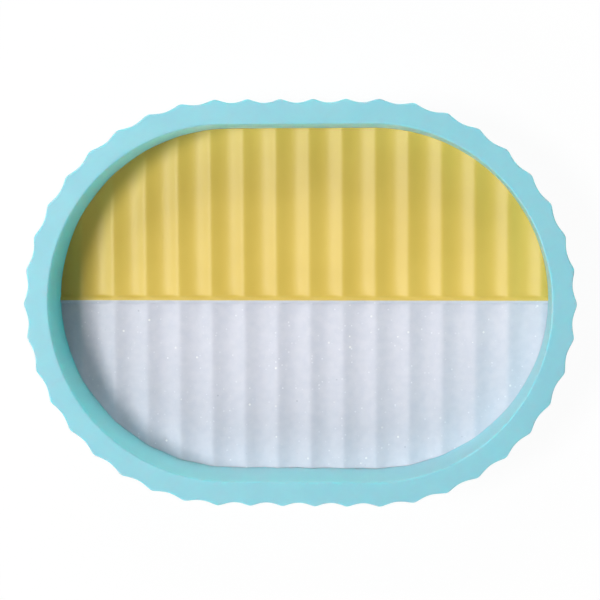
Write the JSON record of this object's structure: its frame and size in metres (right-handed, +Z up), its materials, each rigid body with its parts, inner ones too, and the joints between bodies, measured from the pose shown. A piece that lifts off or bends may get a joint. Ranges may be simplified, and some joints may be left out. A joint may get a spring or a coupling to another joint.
{
  "type": "soap dish",
  "caption": "Oval soap dish: a tray with a scalloped, fluted outside wall and a flat rim, holding lift-out ribbed plates that keep a bar of soap above the water, on soft feet.",
  "frame": {"origin": "under the middle of the dish, on the surface that its feet stand on", "axes": "+X along the dish, +Y across it towards the yellow plate, +Z up"},
  "size_m": [0.135, 0.0996, 0.024],
  "materials": {
    "aqua_tray": "smooth, satin, aqua",
    "yellow_plate": "smooth, satin, warm yellow",
    "glitter_plate": "frosted white with fine glitter",
    "soft_foot": "matte, pale"
  },
  "bodies": {
    "tray": {"fluted_tray": "aqua_tray", "foot_front_left": "soft_foot", "foot_front_right": "soft_foot", "foot_back_left": "soft_foot", "foot_back_right": "soft_foot"},
    "yellow_plate": {"yellow_ribbed_plate": "yellow_plate"},
    "white_plate": {"white_ribbed_plate": "glitter_plate"}
  },
  "joints": [
    {"name": "yellow_plate_lift", "type": "slide", "parent": "tray", "child": "yellow_plate", "axis": [0, 0, 1], "range_m": [0, 0.04]},
    {"name": "white_plate_lift", "type": "slide", "parent": "tray", "child": "white_plate", "axis": [0, 0, 1], "range_m": [0, 0.04]}
  ]
}
